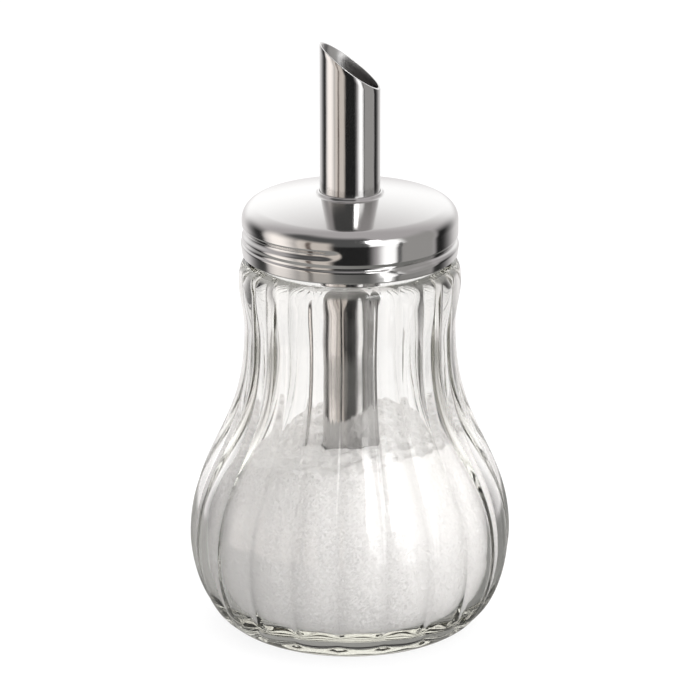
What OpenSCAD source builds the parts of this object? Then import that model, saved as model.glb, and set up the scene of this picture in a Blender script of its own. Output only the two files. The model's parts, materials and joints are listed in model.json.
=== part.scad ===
// Sugar dispenser: a fluted glass jar, a domed steel screw cap and a slant-cut pouring tube with a flap inside.
// Millimetres. The origin is the middle of the foot, +Z is up, and the low side of the spout's mouth faces +X.

/* [Jar] */
// Largest diameter of the jar, across its lobes
belly_d = 75.2; // [72:0.2:80]
// Height of the largest diameter
belly_z = 21.5; // [19:0.5:26]
// How far the side runs on steeply above the largest diameter
belly_pull = 19.8; // [14:0.2:24]
// Diameter of the flat foot
foot_d = 54.2; // [50:0.2:58]
// Diameter of the shallow recess under the foot
recess_d = 40; // [30:1:46]
// Depth of the recess under the foot
recess_h = 0.8; // [0.4:0.1:1.5]
// Diameter of the waist
waist_d = 49.3; // [47:0.1:51]
// Height of the waist
waist_z = 72; // [68:1:78]
// How far the side runs on steeply below the waist
waist_pull = 25.8; // [18:0.2:28]
// Diameter of the shoulder under the cap
shoulder_d = 51.7; // [50.5:0.1:54]
// Height from the waist to the shoulder
shoulder_rise = 11.2; // [9:0.2:14]
// Height from the shoulder to the root of the neck
root_rise = 5.4; // [4.6:0.2:7]
// Outer diameter of the neck
neck_d = 45.8; // [44:0.2:47]
// Height of the neck, from its root to the mouth
neck_h = 11.4; // [11:0.2:13]
// Radius of the mouth's rounded edges
mouth_round = 0.6; // [0.3:0.1:0.8]
// Glass wall of the belly
wall = 3; // [2.4:0.1:4.6]
// Diameter of the smooth bore in the neck
bore_d = 39.8; // [38:0.2:41]
// Thickness of the base
base_t = 4; // [3:0.1:7]

/* [Flutes] */
// Number of lobes round the jar
lobes = 20; // [14:1:24]
// Depth of the creases between the lobes, at the largest diameter
crease_h = 0.6; // [0.4:0.05:1.2]
// Depth of the creases at the waist
crease_neck = 0.45; // [0.3:0.05:1.2]
// Direction of one crease, from the +X side
crease_angle = -94.5; // [-105:0.1:-85]
// Height over which the lobes grow out of the foot
foot_blend = 5; // [3:0.5:8]
// Height over which the lobes grow out of the floor inside
floor_blend = 6; // [3:0.5:9]
// Height over which the lobes end under the neck
shoulder_blend = 5; // [3:0.5:7]

/* [Thread] */
// Rise of the thread in one turn
pitch = 4.2; // [3.9:0.1:4.5]
// Direction in which the rolled groove begins, from the +X side
thread_angle = -92; // [-180:1:180]
// How far the glass thread stands out of the neck
thread_h = 1.4; // [1.1:0.1:1.6]
// Width of the glass thread
thread_w = 2.4; // [2:0.1:2.6]
// Length of the glass thread round the neck, in degrees
thread_span = 340; // [300:5:345]
// Depth of the groove rolled into the cap
groove_h = 0.75; // [0.6:0.05:1.1]
// Width of the groove rolled into the cap
groove_w = 3; // [2.2:0.1:3.2]
// Length of the rolled groove round the cap, in degrees
groove_span = 345; // [300:5:345]
// Gap between the glass thread and the skirt
thread_gap = 0.3; // [0.25:0.05:0.5]

/* [Cap] */
// Thickness of the cap's sheet steel
sheet = 0.5; // [0.4:0.05:0.6]
// Radius of the dome
crown_r = 95; // [80:1:130]
// Radius of the edge between the dome and the skirt
knuckle_r = 4; // [3.4:0.1:4.6]
// Gap between the root of the neck and the skirt's lower edge
skirt_gap = 1.3; // [1:0.1:2]
// Height of the plain hem at the skirt's lower edge
hem_w = 3.1; // [2.6:0.1:3.6]
// How far the hem's upper edge stands out
hem_h = 0.25; // [0.1:0.05:0.4]
// How much the hem's radius shrinks towards its lower edge
hem_taper = 0.4; // [0.2:0.05:0.4]
// Depth of the step above the hem
step_h = 0.25; // [0.1:0.05:0.3]
// Height of the lip that is turned up round the tube
lip_h = 0.4; // [0.2:0.05:0.6]
// Thickness of the seal at the bore of the jar
seal_t = 2; // [1.8:0.1:2.6]

/* [Tube] */
// Outer diameter of the pouring tube
tube_d = 14; // [12.6:0.1:15]
// Wall of the pouring tube
tube_wall = 0.5; // [0.4:0.05:0.6]
// Height of the tube's tip above the top of the dome
spout_h = 35.4; // [30:0.2:45]
// Slant of the spout's mouth against the level
slant = 37.4; // [25:0.2:45]
// Gap between the tube's lower end and the floor of the jar
tube_gap = 9; // [4:0.5:14]
// How far the collar under the dome is wider than the tube, on each side
collar_w = 3; // [2:0.1:5]
// Height of the collar
collar_h = 1.2; // [0.8:0.1:2]

/* [Flap] */
// Height of the flap's seat above the top of the dome
seat_rise = 6; // [3:0.5:9]
// Thickness of the seat ring
seat_t = 1; // [0.8:0.1:1.6]
// Diameter of the hole in the seat ring
port_d = 8; // [6.6:0.1:8.2]
// How far the flap laps over the hole
flap_lap = 0.7; // [0.4:0.1:0.8]
// Thickness of the flap
flap_t = 0.6; // [0.4:0.1:0.8]
// Diameter of the hinge pin
pin_d = 1; // [0.8:0.1:1.1]
// Wall of the knuckle round the pin
knuckle_wall = 0.4; // [0.3:0.05:0.5]
// Width of the knuckle along the pin
knuckle_w = 3; // [2:0.1:3.2]
// Thickness of each hinge ear
ear_t = 0.8; // [0.6:0.1:0.9]
// Gap between the knuckle and the tube's wall
knuckle_inset = 0.6; // [0.5:0.05:0.9]

/* [Sugar] */
// Height of the sugar at the tube
fill_z = 45.5; // [30:0.5:60]
// Slope of the sugar, rising towards the spout's low side
fill_tilt = 5; // [0:1:20]

/* [Gaps] */
// Gap between the sugar and what it lies against
fill_gap = 0.25; // [0.2:0.05:0.5]
// Gap round pieces that are pressed or soldered in place
fit_gap = 0.03; // [0.01:0.01:0.05]
// Running gap round the hinge pin
pin_gap = 0.05; // [0.02:0.01:0.08]
// Gap between flat faces of pieces that move
face_gap = 0.15; // [0.1:0.05:0.2]

/* [Hidden] */
$fn = 96;
jar_columns = 4 * lobes;
cap_columns = 72;
belly_r = belly_d / 2;
foot_r = foot_d / 2;
waist_r = waist_d / 2;
shoulder_r = shoulder_d / 2;
neck_r = neck_d / 2;
bore_r = bore_d / 2;
tube_r = tube_d / 2;
tube_in_r = tube_r - tube_wall;
shoulder_z = waist_z + shoulder_rise;
root_z = shoulder_z + root_rise;
mouth_z = root_z + neck_h;
skirt_r = neck_r + thread_h + thread_gap + sheet;
knuckle_x = skirt_r - knuckle_r;
crown_drop = sqrt(pow(crown_r - knuckle_r, 2) - knuckle_x * knuckle_x);
crown_edge_angle = asin(knuckle_x / (crown_r - knuckle_r));
cap_z = mouth_z + seal_t - dome_rise(bore_r, sheet);
crown_z = cap_z + dome_rise(0, 0);
skirt_z = root_z + skirt_gap;
hem_z = skirt_z + hem_w;
hole_r = tube_r + fit_gap;
groove_top = cap_z - groove_w / 2;
thread_top = mouth_z - mouth_round - thread_w / 2;
thread_lag = 360 * (groove_top + pitch / 2 - thread_top) / pitch;
tip_z = crown_z + spout_h;
tube_z = base_t + tube_gap;
seat_z = crown_z + seat_rise;
seat_top = seat_z + seat_t;
knuckle_or = pin_d / 2 + pin_gap + knuckle_wall;
pin_x = -(tube_in_r - knuckle_inset - knuckle_or);
pin_z = seat_top + face_gap + knuckle_or;
flap_r = port_d / 2 + flap_lap;
ear_y = knuckle_w / 2 + face_gap;
flap_cut_x = pin_x + knuckle_or + face_gap;

// Smooth step from 0 to 1
function ease(t) = let (u = min(1, max(0, t))) u * u * (3 - 2 * u);

// Angle from 0 to 360
function turned(a) = a - 360 * floor(a / 360);

// Point on a cubic curve with the corners p, at t from 0 to 1
function curve_at(p, t) = pow(1 - t, 3) * p[0] + 3 * pow(1 - t, 2) * t * p[1]
    + 3 * (1 - t) * t * t * p[2] + pow(t, 3) * p[3];

// Points along a cubic curve, without its last one
function curve(p, steps) = [for (i = [0:steps - 1]) curve_at(p, i / steps)];

// Rounded ridge of height 1 and half width 1
function ridge(s) = abs(s) < 1 ? pow(cos(90 * s), 2) : 0;

// A helical ridge's fading factor at the angle m past its upper end
function thread_fade(m, span, top_fade, low_fade) = ease(m / top_fade) * ease((span - m) / low_fade);

// Height of the dome above the middle of its rounded edge, at radius r and a depth under its outer face
function dome_rise(r, depth) = r < (crown_r - depth) * sin(crown_edge_angle)
    ? sqrt(pow(crown_r - depth, 2) - r * r) - crown_drop
    : sqrt(pow(knuckle_r - depth, 2) - pow(r - knuckle_x, 2));

// How much of the creases' depth there is at an angle: 0 along a lobe's middle line, 1 in a crease
function crease_share(a) = let (lobe = (a - crease_angle) * lobes / 360) pow(2 * (lobe - floor(lobe)) - 1, 2);

// Depth of the creases at a height
function crease_depth(z) = (crease_h + (crease_neck - crease_h) * ease((z - belly_z) / (waist_z - belly_z)))
    * ease(z / foot_blend) * ease((root_z - 1 - z) / shoulder_blend);

// How far the inner wall bulges out into the lobes, at an angle and a height
function inner_bulge(a, z) = crease_depth(z) * (1 - crease_share(a)) * ease((z - base_t) / floor_blend);

// Outer profile of the jar's body, over the lobes
body_profile = concat(
    curve([[foot_r, 0], [foot_r + 8.9, 3.9], [belly_r, belly_z - 4], [belly_r, belly_z]], 6),
    curve([[belly_r, belly_z], [belly_r, belly_z + belly_pull], [waist_r, waist_z - waist_pull],
        [waist_r, waist_z]], 10),
    curve([[waist_r, waist_z], [waist_r, waist_z + shoulder_rise * 0.4],
        [shoulder_r, shoulder_z - shoulder_rise * 0.35], [shoulder_r, shoulder_z]], 4),
    curve([[shoulder_r, shoulder_z], [shoulder_r, shoulder_z + root_rise * 0.6],
        [shoulder_r - 0.4, root_z - 0.4], [neck_r, root_z]], 5));

// Inner profile of the jar, from the mouth down to the floor
function inner_profile(gap) = let (belly_in = belly_r - wall - gap, bore_in = bore_r - gap,
        floor_r = foot_r - wall - gap, floor_z = base_t + gap, waist_in_z = waist_z - wall) concat(
    [[bore_in, waist_in_z]],
    curve([[bore_in, waist_in_z], [bore_in, waist_in_z - waist_pull], [belly_in, belly_z + belly_pull],
        [belly_in, belly_z]], 9),
    curve([[belly_in, belly_z], [belly_in, belly_z - 9], [floor_r + 7, floor_z], [floor_r, floor_z]], 5),
    [[floor_r, floor_z]]);

// Radius of the neck's outside, with the glass thread
function neck_at(a, z) = let (m = turned(thread_angle - thread_lag - a), middle = thread_top - pitch * m / 360)
    neck_r + thread_h * thread_fade(m, thread_span, 20, 20) * ridge((z - middle) * 2 / thread_w);

// Profile of the jar at one angle, from the recess under the foot to the floor inside
function jar_profile(a) = let (neck_rows = 16, bore_rows = 5, bore_low = waist_z - wall) concat(
    [[recess_d / 2 - 1, recess_h], [recess_d / 2, 0]],
    [for (p = body_profile) [p[0] - crease_depth(p[1]) * crease_share(a), p[1]]],
    [for (i = [0:neck_rows]) let (z = root_z + (mouth_z - mouth_round - root_z) * i / neck_rows)
        [neck_at(a, z), z]],
    [[neck_r - mouth_round * 0.3, mouth_z - mouth_round * 0.3], [neck_r - mouth_round, mouth_z],
        [bore_r + mouth_round, mouth_z], [bore_r, mouth_z - mouth_round]],
    [for (i = [0:bore_rows - 1]) let (z = root_z + (bore_low - root_z) * i / bore_rows)
        [bore_r + inner_bulge(a, z), z]],
    [for (p = inner_profile(0)) [p[0] + inner_bulge(a, p[1]), p[1]]]);

// Radius of the skirt's outside, with the rolled groove, the step above the hem and the hem
function skirt_at(a, z) = let (m = turned(thread_angle - a), middle = groove_top - pitch * m / 360,
        groove = groove_h * thread_fade(m, groove_span, 15, 25) * ridge((z - middle) * 2 / groove_w),
        step = step_h * ridge((z - hem_z - 0.5) / 1.1),
        hem = (hem_h - hem_taper * (hem_z - z) / hem_w) * ease((hem_z + 0.2 - z) / 0.6))
    skirt_r - max(groove, step) + hem;

// Profile of the cap at one angle: up the outside to the hole, then back under the dome and down the skirt
function cap_profile(a) = let (rows = 19, knuckle_steps = 5, row_h = (cap_z - skirt_z) / rows) concat(
    [for (i = [0:rows]) let (z = skirt_z + row_h * i) [skirt_at(a, z), z]],
    [for (i = [1:knuckle_steps]) let (b = (90 - crown_edge_angle) * i / knuckle_steps)
        [knuckle_x + knuckle_r * cos(b), cap_z + knuckle_r * sin(b)]],
    [for (r = [knuckle_x * 0.75, knuckle_x * 0.5, hole_r + sheet]) [r, cap_z + dome_rise(r, 0)]],
    [[hole_r + sheet, crown_z + lip_h - 0.2], [hole_r + sheet * 0.6, crown_z + lip_h], [hole_r, crown_z + lip_h]],
    [for (r = [hole_r, knuckle_x * 0.5, knuckle_x * 0.75]) [r, cap_z + dome_rise(r, sheet)]],
    [for (i = [knuckle_steps:-1:1]) let (b = (90 - crown_edge_angle) * i / knuckle_steps)
        [knuckle_x + (knuckle_r - sheet) * cos(b), cap_z + (knuckle_r - sheet) * sin(b)]],
    [for (i = [rows:-1:0]) let (z = skirt_z + row_h * i) [skirt_at(a, z) - sheet, z]]);

// A closed skin over equal profiles [radius, height] that stand round the axis, the first one at first_angle.
// A ring-shaped skin joins each profile's end to its start; otherwise flat faces close both ends.
module skin_round(profiles, first_angle, ring_shaped) {
    n = len(profiles);
    k = len(profiles[0]);
    points = [for (i = [0:n - 1]) for (p = profiles[i]) let (a = first_angle + 360 * i / n)
        [p[0] * cos(a), p[0] * sin(a), p[1]]];
    sides = [for (i = [0:n - 1]) for (j = [0:(ring_shaped ? k - 1 : k - 2)])
        let (here = i * k, next = ((i + 1) % n) * k, up = (j + 1) % k)
        for (face = [[here + j, here + up, next + up], [here + j, next + up, next + j]]) face];
    ends = ring_shaped ? [] : [[for (i = [0:n - 1]) i * k], [for (i = [n - 1:-1:0]) i * k + k - 1]];
    polyhedron(points, concat(sides, ends), convexity = 8);
}

// Fluted glass jar with a threaded neck
module jar() {
    color([0.86, 0.92, 0.9, 0.35])
        skin_round([for (i = [0:jar_columns - 1]) jar_profile(crease_angle + 360 * i / jar_columns)],
            crease_angle, false);
}

// Sugar in the belly of the jar, with room for the tube and a column inside it
module sugar_fill() {
    color("white")
        difference() {
            rotate_extrude()
                polygon(concat([[0, base_t + fill_gap], [0, waist_z - wall]], inner_profile(fill_gap)));
            translate([0, 0, fill_z])
                rotate([0, -fill_tilt, 0])
                    translate([-belly_d, -belly_d, 0])
                        cube([2 * belly_d, 2 * belly_d, waist_z]);
            difference() {
                translate([0, 0, tube_z - fill_gap])
                    cylinder(r = tube_r + fill_gap, h = waist_z);
                translate([0, 0, tube_z - 1])
                    cylinder(r = tube_in_r - fill_gap, h = waist_z);
            }
        }
}

// Domed screw cap, pressed from sheet, with a rolled thread
module screw_cap() {
    color([0.76, 0.76, 0.77])
        skin_round([for (i = [0:cap_columns - 1]) cap_profile(thread_angle + 360 * i / cap_columns)],
            thread_angle, true);
}

// Seal ring between the mouth of the jar and the dome, with its upper face curved like the dome
module cap_seal() {
    seal_low = mouth_z + fit_gap;
    seal_out = neck_r + thread_gap;
    color([0.9, 0.9, 0.88])
        rotate_extrude()
            polygon(concat([[bore_r, seal_low], [seal_out, seal_low]],
                [for (i = [4:-1:0]) let (r = bore_r + (seal_out - bore_r) * i / 4)
                    [r, cap_z + dome_rise(r, sheet + face_gap)]]));
}

// Pouring tube, slant cut at the top
module pour_tube() {
    color([0.74, 0.74, 0.75])
        difference() {
            translate([0, 0, tube_z])
                cylinder(r = tube_r, h = tip_z - tube_z);
            translate([0, 0, tube_z - 1])
                cylinder(r = tube_in_r, h = tip_z - tube_z + 2);
            translate([-tube_r, 0, tip_z])
                rotate([0, slant, 0])
                    translate([-tube_d, -tube_d, 0])
                        cube([4 * tube_d, 2 * tube_d, 2 * tube_d]);
        }
}

// Collar that holds the tube under the dome
module tube_collar() {
    collar_r = tube_r + collar_w;
    inner_top = cap_z + dome_rise(hole_r, sheet + fit_gap);
    outer_top = cap_z + dome_rise(collar_r, sheet + fit_gap);
    color([0.7, 0.7, 0.72])
        rotate_extrude()
            polygon([[hole_r, inner_top - collar_h], [collar_r, outer_top - collar_h],
                [collar_r, outer_top], [hole_r, inner_top]]);
}

// Hinge ear on one side of the knuckle
module hinge_ear() {
    translate([pin_x - knuckle_or, 0, seat_top - seat_t / 2])
        cube([2 * knuckle_or, ear_t, pin_z - seat_top + seat_t / 2]);
    translate([pin_x, 0, pin_z])
        rotate([-90, 0, 0])
            cylinder(r = knuckle_or, h = ear_t);
}

// Ring in the tube that the flap closes on, with two hinge ears
module flap_seat() {
    color([0.66, 0.66, 0.68])
        difference() {
            union() {
                translate([0, 0, seat_z])
                    cylinder(r = tube_in_r - fit_gap, h = seat_t);
                intersection() {
                    union() {
                        translate([0, ear_y, 0])
                            hinge_ear();
                        translate([0, -ear_y - ear_t, 0])
                            hinge_ear();
                    }
                    translate([0, 0, seat_z])
                        cylinder(r = tube_in_r - fit_gap, h = tube_d);
                }
            }
            translate([0, 0, seat_z - 1])
                cylinder(r = port_d / 2, h = seat_t + 2);
            translate([pin_x, -tube_r, pin_z])
                rotate([-90, 0, 0])
                    cylinder(r = pin_d / 2 + fit_gap, h = tube_d);
        }
}

// Hinge pin of the flap
module flap_pin() {
    pin_half = ear_y + ear_t;
    color([0.6, 0.6, 0.62])
        translate([pin_x, -pin_half, pin_z])
            rotate([-90, 0, 0])
                cylinder(r = pin_d / 2, h = 2 * pin_half);
}

// Flap: a disc, cut straight beside the ears, with an arm to its knuckle
module flap() {
    flap_z = seat_top + face_gap;
    color([0.8, 0.8, 0.82])
        difference() {
            union() {
                intersection() {
                    translate([0, 0, flap_z])
                        cylinder(r = flap_r, h = flap_t);
                    translate([flap_cut_x, -tube_r, flap_z - 1])
                        cube([tube_d, tube_d, flap_t + 2]);
                }
                translate([pin_x, -knuckle_w / 2, flap_z])
                    cube([-pin_x, knuckle_w, flap_t]);
                translate([pin_x, -knuckle_w / 2, pin_z])
                    rotate([-90, 0, 0])
                        cylinder(r = knuckle_or, h = knuckle_w);
            }
            translate([pin_x, -tube_r, pin_z])
                rotate([-90, 0, 0])
                    cylinder(r = pin_d / 2 + pin_gap, h = tube_d);
        }
}

jar();
sugar_fill();
screw_cap();
cap_seal();
pour_tube();
tube_collar();
flap_seat();
flap_pin();
flap();
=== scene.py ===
"""Sugar dispenser: the finished glass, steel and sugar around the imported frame, with a plain studio.

Metres, in the frame's own axes: +Z up, the low side of the spout's mouth towards +X, seen from -Y.
"""

import json
import math

import bpy
import numpy as np
from bpy.props import FloatProperty, FloatVectorProperty, IntProperty, PointerProperty
from bpy.types import Operator, Panel, PropertyGroup
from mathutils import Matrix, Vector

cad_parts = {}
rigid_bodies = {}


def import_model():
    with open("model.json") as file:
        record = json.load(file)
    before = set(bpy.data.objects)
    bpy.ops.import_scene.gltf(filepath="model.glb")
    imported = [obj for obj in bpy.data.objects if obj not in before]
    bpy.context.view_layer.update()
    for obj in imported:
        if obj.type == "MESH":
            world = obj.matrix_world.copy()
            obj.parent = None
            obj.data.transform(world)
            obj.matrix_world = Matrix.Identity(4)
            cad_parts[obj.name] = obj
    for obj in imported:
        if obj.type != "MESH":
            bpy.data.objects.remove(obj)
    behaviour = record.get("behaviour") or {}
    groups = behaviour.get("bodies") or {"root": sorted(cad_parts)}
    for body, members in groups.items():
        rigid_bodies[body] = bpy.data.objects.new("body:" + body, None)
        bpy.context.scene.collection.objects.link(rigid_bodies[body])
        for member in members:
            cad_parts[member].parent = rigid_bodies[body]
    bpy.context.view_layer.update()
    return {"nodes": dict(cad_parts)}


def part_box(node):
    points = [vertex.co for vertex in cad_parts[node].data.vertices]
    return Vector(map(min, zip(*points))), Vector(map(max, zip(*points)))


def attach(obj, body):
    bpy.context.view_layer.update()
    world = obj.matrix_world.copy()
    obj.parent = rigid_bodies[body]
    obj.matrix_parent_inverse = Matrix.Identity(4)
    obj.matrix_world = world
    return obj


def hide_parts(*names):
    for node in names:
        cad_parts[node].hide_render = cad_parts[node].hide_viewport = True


bl_info = {
    "name": "Sugar dispenser",
    "version": (1, 0, 0),
    "blender": (4, 5, 0),
    "location": "View3D > Sidebar > Dispenser",
    "description": "Builds a fluted sugar dispenser with a screw cap, a pouring tube and its sugar",
    "category": "Object",
}

for leftover in list(bpy.data.objects):
    bpy.data.objects.remove(leftover)
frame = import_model()
MM = 0.001
FULL_TURN = 2 * math.pi


class JarSizes(PropertyGroup):
    """Sizes of the glass jar"""

    belly_d: FloatProperty(
        name="Belly", description="Largest diameter across the lobes", default=0.0752, unit="LENGTH"
    )
    belly_z: FloatProperty(
        name="Belly height", description="Height of the largest diameter", default=0.0215, unit="LENGTH"
    )
    belly_pull: FloatProperty(
        name="Belly pull", description="Steep run above the largest diameter", default=0.0198, unit="LENGTH"
    )
    foot_d: FloatProperty(name="Foot", description="Diameter of the flat foot", default=0.0542, unit="LENGTH")
    recess_d: FloatProperty(
        name="Recess", description="Diameter of the recess under the foot", default=0.04, unit="LENGTH"
    )
    recess_h: FloatProperty(
        name="Recess depth", description="Depth of the recess under the foot", default=0.0008, unit="LENGTH"
    )
    waist_d: FloatProperty(name="Waist", description="Diameter of the waist", default=0.0493, unit="LENGTH")
    waist_z: FloatProperty(
        name="Waist height", description="Height of the waist", default=0.072, unit="LENGTH"
    )
    waist_pull: FloatProperty(
        name="Waist pull", description="Steep run below the waist", default=0.0258, unit="LENGTH"
    )
    shoulder_d: FloatProperty(
        name="Shoulder", description="Diameter of the shoulder", default=0.0517, unit="LENGTH"
    )
    shoulder_rise: FloatProperty(
        name="Shoulder rise", description="Height from the waist to the shoulder", default=0.0112, unit="LENGTH"
    )
    root_rise: FloatProperty(
        name="Root rise", description="Height from the shoulder to the neck's root", default=0.0054, unit="LENGTH"
    )
    neck_d: FloatProperty(name="Neck", description="Outer diameter of the neck", default=0.0458, unit="LENGTH")
    neck_h: FloatProperty(name="Neck height", description="From its root to the mouth", default=0.0114, unit="LENGTH")
    mouth_round: FloatProperty(
        name="Mouth rounding", description="Radius of the mouth's edges", default=0.0006, unit="LENGTH"
    )
    wall: FloatProperty(name="Wall", description="Glass wall of the belly", default=0.003, unit="LENGTH")
    bore_d: FloatProperty(name="Bore", description="Diameter of the neck's bore", default=0.0398, unit="LENGTH")
    base_t: FloatProperty(name="Base", description="Thickness of the base", default=0.004, unit="LENGTH")
    lobes: IntProperty(name="Lobes", description="Number of lobes round the jar", default=20, min=3)
    crease_h: FloatProperty(
        name="Crease depth", description="Depth of the creases between lobes", default=0.0006, unit="LENGTH"
    )
    crease_neck: FloatProperty(
        name="Neck crease depth", description="Depth of the creases at the waist", default=0.00045, unit="LENGTH"
    )
    crease_angle: FloatProperty(
        name="Crease angle",
        description="Direction of one crease from the +X side",
        default=math.radians(-94.5),
        subtype="ANGLE",
    )
    glass: FloatVectorProperty(
        name="Glass", description="Colour of the glass", default=(0.99, 0.985, 0.984), subtype="COLOR", size=3
    )


class CapSizes(PropertyGroup):
    """Sizes of the screw cap and its threads"""

    pitch: FloatProperty(name="Pitch", description="Rise of the thread in one turn", default=0.0042, unit="LENGTH")
    thread_angle: FloatProperty(
        name="Thread start",
        description="Direction in which the rolled groove begins",
        default=math.radians(-92),
        subtype="ANGLE",
    )
    thread_h: FloatProperty(
        name="Glass thread", description="How far it stands out of the neck", default=0.0014, unit="LENGTH"
    )
    thread_w: FloatProperty(
        name="Glass thread width", description="Width of the glass thread", default=0.0024, unit="LENGTH"
    )
    groove_h: FloatProperty(
        name="Groove depth", description="Depth of the rolled groove", default=0.00075, unit="LENGTH"
    )
    groove_w: FloatProperty(
        name="Groove width", description="Width of the rolled groove", default=0.003, unit="LENGTH"
    )
    thread_gap: FloatProperty(
        name="Thread gap", description="Gap between glass thread and skirt", default=0.0003, unit="LENGTH"
    )
    sheet: FloatProperty(name="Sheet", description="Thickness of the sheet steel", default=0.0005, unit="LENGTH")
    crown_r: FloatProperty(name="Dome radius", description="Radius of the dome", default=0.095, unit="LENGTH")
    knuckle_r: FloatProperty(
        name="Edge radius", description="Radius between dome and skirt", default=0.004, unit="LENGTH"
    )
    skirt_gap: FloatProperty(
        name="Skirt gap", description="From the neck's root to the skirt's edge", default=0.0013, unit="LENGTH"
    )
    hem_w: FloatProperty(name="Hem", description="Height of the plain hem", default=0.0031, unit="LENGTH")
    hem_h: FloatProperty(
        name="Hem relief", description="How far the hem's upper edge stands out", default=0.00025, unit="LENGTH"
    )
    hem_taper: FloatProperty(
        name="Hem taper", description="How much the hem shrinks to its lower edge", default=0.0004, unit="LENGTH"
    )
    step_h: FloatProperty(
        name="Step depth", description="Depth of the step above the hem", default=0.00025, unit="LENGTH"
    )
    lip_h: FloatProperty(name="Lip", description="Height of the lip round the tube", default=0.0004, unit="LENGTH")
    seal_t: FloatProperty(name="Seal", description="Thickness of the seal at the bore", default=0.002, unit="LENGTH")
    steel: FloatVectorProperty(
        name="Steel", description="Colour of the polished steel", default=(0.6, 0.594, 0.588), subtype="COLOR", size=3
    )


class TubeSizes(PropertyGroup):
    """Sizes of the pouring tube"""

    tube_d: FloatProperty(name="Tube", description="Outer diameter of the tube", default=0.014, unit="LENGTH")
    wall: FloatProperty(name="Tube wall", description="Wall of the tube", default=0.0005, unit="LENGTH")
    slant: FloatProperty(
        name="Slant", description="Slant of the mouth against the level", default=math.radians(37.4), subtype="ANGLE"
    )
    edge: FloatProperty(name="Edge", description="Rounding of the cut edges", default=0.00012, unit="LENGTH")


class SugarSizes(PropertyGroup):
    """Sizes of the sugar in the jar"""

    fill_z: FloatProperty(name="Fill", description="Height of the sugar at the tube", default=0.0455, unit="LENGTH")
    fill_tilt: FloatProperty(
        name="Tilt", description="Slope of the sugar's surface", default=math.radians(5), subtype="ANGLE"
    )
    gap: FloatProperty(name="Gap", description="Air between sugar and glass", default=0.00025, unit="LENGTH")
    lumps: FloatProperty(name="Lumps", description="Height of the surface's lumps", default=0.0009, unit="LENGTH")
    white: FloatVectorProperty(
        name="Sugar", description="Colour of the sugar", default=(0.92, 0.908, 0.9), subtype="COLOR", size=3
    )


class StudioSettings(PropertyGroup):
    """Camera and lights"""

    distance: FloatProperty(name="Distance", description="From the camera to the jar", default=1.2, unit="LENGTH")
    elevation: FloatProperty(
        name="Elevation", description="Of the camera above the level", default=math.radians(18.48), subtype="ANGLE"
    )
    aim_z: FloatProperty(name="Aim", description="Height that the camera looks at", default=0.06601, unit="LENGTH")
    pixels_per_mm: FloatProperty(
        name="Scale", description="Picture scale at the aim, in pixels of a 700 pixel frame", default=4.2894
    )


def ease(t):
    """Smooth step from 0 to 1: 3t^2 - 2t^3, with t held between 0 and 1."""
    t = np.clip(t, 0, 1)
    return t * t * (3 - 2 * t)


def ridge(s):
    """Rounded ridge of height 1 over -1 < s < 1: the square of a cosine."""
    return np.where(np.abs(s) < 1, np.cos(np.clip(s, -1, 1) * math.pi / 2) ** 2, 0)


def curve(corners, steps):
    """Points of a cubic Bezier curve over its four corners, without the last one."""
    t = np.linspace(0, 1, steps, endpoint=False)[:, None]
    a, b, c, d = (np.array(p, float) for p in corners)
    return (1 - t) ** 3 * a + 3 * (1 - t) ** 2 * t * b + 3 * (1 - t) * t**2 * c + t**3 * d


def line(start, end, steps):
    """Points from start towards end at equal steps, without the last one."""
    t = np.linspace(0, 1, steps, endpoint=False)[:, None]
    return (1 - t) * np.array(start, float) + t * np.array(end, float)


def waves(x, y, z, seed):
    """Smooth unevenness between about -1 and 1: the mean of eight sine waves of seeded directions and phases."""
    draw = np.random.default_rng(seed)
    total = 0
    for _ in range(8):
        direction = draw.normal(size=3)
        direction /= np.linalg.norm(direction)
        total = total + np.sin((x * direction[0] + y * direction[1] + z * direction[2]) + draw.uniform(0, FULL_TURN))
    return total / 4


class Neck:
    """Heights and radii that the jar, the cap and the sugar share, worked out as in the part's source."""

    def __init__(self, jar, cap):
        self.waist_z = jar.waist_z
        self.shoulder_z = jar.waist_z + jar.shoulder_rise
        self.root_z = self.shoulder_z + jar.root_rise
        self.mouth_z = self.root_z + jar.neck_h
        self.neck_r = jar.neck_d / 2
        self.bore_r = jar.bore_d / 2
        self.skirt_r = self.neck_r + cap.thread_h + cap.thread_gap + cap.sheet
        self.knuckle_x = self.skirt_r - cap.knuckle_r
        self.crown_r = cap.crown_r
        self.knuckle_r = cap.knuckle_r
        self.drop = math.sqrt((cap.crown_r - cap.knuckle_r) ** 2 - self.knuckle_x**2)
        self.edge_angle = math.asin(self.knuckle_x / (cap.crown_r - cap.knuckle_r))
        self.cap_z = self.mouth_z + cap.seal_t - self.dome_rise(self.bore_r, cap.sheet)
        self.crown_z = self.cap_z + self.dome_rise(0, 0)
        self.skirt_z = self.root_z + cap.skirt_gap
        self.hem_z = self.skirt_z + cap.hem_w
        self.groove_top = self.cap_z - cap.groove_w / 2
        self.thread_top = self.mouth_z - jar.mouth_round - cap.thread_w / 2
        self.thread_lag = FULL_TURN * (self.groove_top + cap.pitch / 2 - self.thread_top) / cap.pitch

    def dome_rise(self, r, depth):
        """Height of the dome above the middle of its rounded edge, at radius r and a depth under its outer face."""
        if r < (self.crown_r - depth) * math.sin(self.edge_angle):
            return math.sqrt((self.crown_r - depth) ** 2 - r * r) - self.drop
        return math.sqrt((self.knuckle_r - depth) ** 2 - (r - self.knuckle_x) ** 2)


def thread_relief(angle, z, top_z, pitch, width, span_deg, fades_deg):
    """A right-hand helical ridge from 0 to 1: it falls by one pitch a turn, clockwise from angle 0, and fades at
    both ends."""
    m = np.degrees(angle) % 360
    middle = top_z - pitch * m / 360
    fade = ease(m / fades_deg[0]) * ease((span_deg - m) / fades_deg[1])
    return fade * ridge((z - middle) * 2 / width)


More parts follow.
